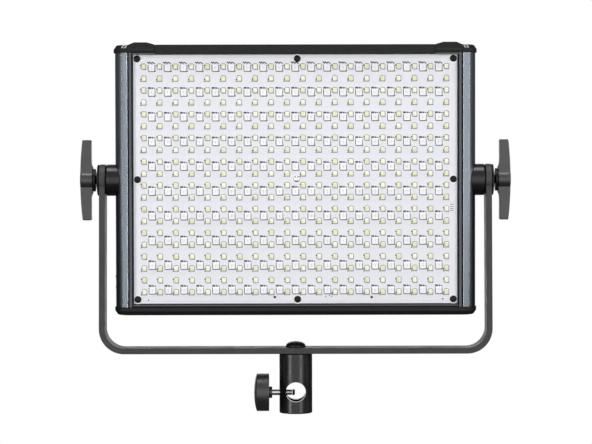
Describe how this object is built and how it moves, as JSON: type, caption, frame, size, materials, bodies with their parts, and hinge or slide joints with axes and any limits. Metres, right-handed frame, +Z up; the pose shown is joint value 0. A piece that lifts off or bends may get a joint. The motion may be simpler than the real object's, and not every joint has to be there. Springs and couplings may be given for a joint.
{
  "type": "led panel light",
  "caption": "Rectangular LED panel light that tilts in a U-shaped yoke between two T-handles, with a stand receiver and clamp knob under the yoke.",
  "frame": {"origin": "centre of the stand receiver's mouth, under the yoke", "axes": "+Z up out of the stand, +X to the right seen from the front, the light shines along -Y"},
  "size_m": [0.379, 0.0661, 0.3265],
  "materials": {
    "powder_coat": "fine textured powder coat",
    "satin_black": "satin",
    "anodised": "brushed blue-grey anodised",
    "dark_anodised": "dark anodised",
    "bare_aluminium": "brushed",
    "steel": "bright zinc plated",
    "black_steel": "black oxide",
    "cap_plastic": "fine grain",
    "knob_plastic": "fine grain",
    "board_white": "white solder mask over an aluminium core",
    "circuit_board": "green solder mask",
    "display_glass": "polished",
    "brass": "satin",
    "led_warm": "phosphor under clear resin",
    "led_cool": "phosphor under clear resin",
    "led_body": "white moulding",
    "board_print": "dark ink"
  },
  "bodies": {
    "yoke": {"yoke_bracket": "powder_coat", "receiver_barrel": "satin_black", "receiver_bolt": "black_steel", "left_ear_washer": "black_steel", "right_ear_washer": "black_steel"},
    "head": {"base_plate": "bare_aluminium", "battery_contacts": "brass", "battery_plate": "cap_plastic", "board_screw_centre": "steel", "board_screw_lower_left": "black_steel", "board_screw_lower_middle": "black_steel", "board_screw_lower_right": "black_steel", "board_screw_middle_left": "black_steel", "board_screw_middle_right": "black_steel", "board_screw_upper_left": "black_steel", "board_screw_upper_middle": "black_steel", "board_screw_upper_right": "black_steel", "bottom_cap": "cap_plastic", "bottom_rail": "dark_anodised", "control_board": "circuit_board", "control_housing": "cap_plastic", "data_port": "cap_plastic", "display_window": "display_glass", "driver_board": "circuit_board", "heat_sink": "bare_aluminium", "led_board": "board_white", "left_hub_nut": "steel", "left_latch_pin": "steel", "left_pivot_hub": "satin_black", "left_profile": "anodised", "power_inlet": "black_steel", "rear_cover": "cap_plastic", "right_hub_nut": "steel", "right_latch_pin": "steel", "right_pivot_hub": "satin_black", "right_profile": "anodised", "side_port_plate": "black_steel", "top_cap": "cap_plastic", "top_rail": "dark_anodised"},
    "socket_pad": {"socket_clamp_pad": "brass"},
    "socket_knob": {"socket_clamp_screw": "steel", "socket_clamp_knob": "knob_plastic"},
    "left_clamp_washer": {"left_thrust_washer": "black_steel"},
    "left_handle": {"left_clamp_stud": "black_steel", "left_t_handle": "knob_plastic"},
    "right_clamp_washer": {"right_thrust_washer": "black_steel"},
    "right_handle": {"right_clamp_stud": "black_steel", "right_t_handle": "knob_plastic"},
    "left_latch": {"left_slot_latch": "cap_plastic"},
    "right_latch": {"right_slot_latch": "cap_plastic"},
    "brightness_knob": {"brightness_dial": "knob_plastic"},
    "colour_knob": {"colour_dial": "knob_plastic"},
    "effect_knob": {"effect_dial": "knob_plastic"},
    "menu_key": {"menu_button": "knob_plastic"},
    "back_key": {"back_button": "knob_plastic"},
    "mode_key": {"mode_button": "knob_plastic"},
    "preset_key": {"preset_button": "knob_plastic"},
    "rocker": {"power_rocker": "knob_plastic"},
    "release": {"battery_release": "knob_plastic"},
    "lock_pin": {"battery_lock_pin": "steel"}
  },
  "joints": [
    {"name": "head_tilt", "type": "hinge", "parent": "yoke", "child": "head", "pos_m": [0, 0, 0.206], "axis": [1, 0, 0], "continuous": true},
    {"name": "socket_clamp_travel", "type": "slide", "parent": "yoke", "child": "socket_pad", "axis": [1, 0, 0], "range_m": [-0.007, 0.006]},
    {"name": "socket_clamp_turn", "type": "hinge", "parent": "socket_pad", "child": "socket_knob", "pos_m": [-0.02, 0, 0.018], "axis": [1, 0, 0], "range_deg": [-2525, 2165]},
    {"name": "left_clamp_travel", "type": "slide", "parent": "head", "child": "left_clamp_washer", "axis": [1, 0, 0], "range_m": [-0.0025, 0.00156]},
    {"name": "left_handle_turn", "type": "hinge", "parent": "left_clamp_washer", "child": "left_handle", "pos_m": [-0.18, 0, 0.206], "axis": [1, 0, 0], "range_deg": [-722, 452]},
    {"name": "right_clamp_travel", "type": "slide", "parent": "head", "child": "right_clamp_washer", "axis": [1, 0, 0], "range_m": [-0.00156, 0.0025]},
    {"name": "right_handle_turn", "type": "hinge", "parent": "right_clamp_washer", "child": "right_handle", "pos_m": [0.18, 0, 0.206], "axis": [1, 0, 0], "range_deg": [-452, 722]},
    {"name": "left_latch_flip", "type": "hinge", "parent": "head", "child": "left_latch", "pos_m": [-0.1346, -0.0026, 0.3227], "axis": [-1, 0, 0], "range_deg": [0, 90]},
    {"name": "right_latch_flip", "type": "hinge", "parent": "head", "child": "right_latch", "pos_m": [0.1346, -0.0026, 0.3227], "axis": [-1, 0, 0], "range_deg": [0, 90]},
    {"name": "brightness_turn", "type": "hinge", "parent": "head", "child": "brightness_knob", "pos_m": [-0.06, 0.034, 0.234], "axis": [0, 1, 0], "continuous": true},
    {"name": "colour_turn", "type": "hinge", "parent": "head", "child": "colour_knob", "pos_m": [0, 0.034, 0.234], "axis": [0, 1, 0], "continuous": true},
    {"name": "effect_turn", "type": "hinge", "parent": "head", "child": "effect_knob", "pos_m": [0.06, 0.034, 0.234], "axis": [0, 1, 0], "continuous": true},
    {"name": "menu_press", "type": "slide", "parent": "head", "child": "menu_key", "axis": [0, -1, 0], "range_m": [0, 0.0012], "stiffness_N_per_m": 400},
    {"name": "back_press", "type": "slide", "parent": "head", "child": "back_key", "axis": [0, -1, 0], "range_m": [0, 0.0012], "stiffness_N_per_m": 400},
    {"name": "mode_press", "type": "slide", "parent": "head", "child": "mode_key", "axis": [0, -1, 0], "range_m": [0, 0.0012], "stiffness_N_per_m": 400},
    {"name": "preset_press", "type": "slide", "parent": "head", "child": "preset_key", "axis": [0, -1, 0], "range_m": [0, 0.0012], "stiffness_N_per_m": 400},
    {"name": "power_rock", "type": "hinge", "parent": "head", "child": "rocker", "pos_m": [0.118, 0.017, 0.146], "axis": [1, 0, 0], "range_deg": [0, 18]},
    {"name": "release_press", "type": "slide", "parent": "head", "child": "release", "axis": [-1, 0, 0], "range_m": [0, 0.004], "stiffness_N_per_m": 500},
    {"name": "lock_pin_draw", "type": "slide", "parent": "head", "child": "lock_pin", "axis": [0, -1, 0], "range_m": [0, 0.0046]}
  ],
  "couplings": [
    {"joint": "socket_clamp_turn", "follows": "socket_clamp_travel", "rad_per_m": 6283.2},
    {"joint": "left_handle_turn", "follows": "left_clamp_travel", "rad_per_m": 5026.5},
    {"joint": "right_handle_turn", "follows": "right_clamp_travel", "rad_per_m": 5026.5},
    {"joint": "lock_pin_draw", "follows": "release_press", "ratio": 1.125}
  ]
}
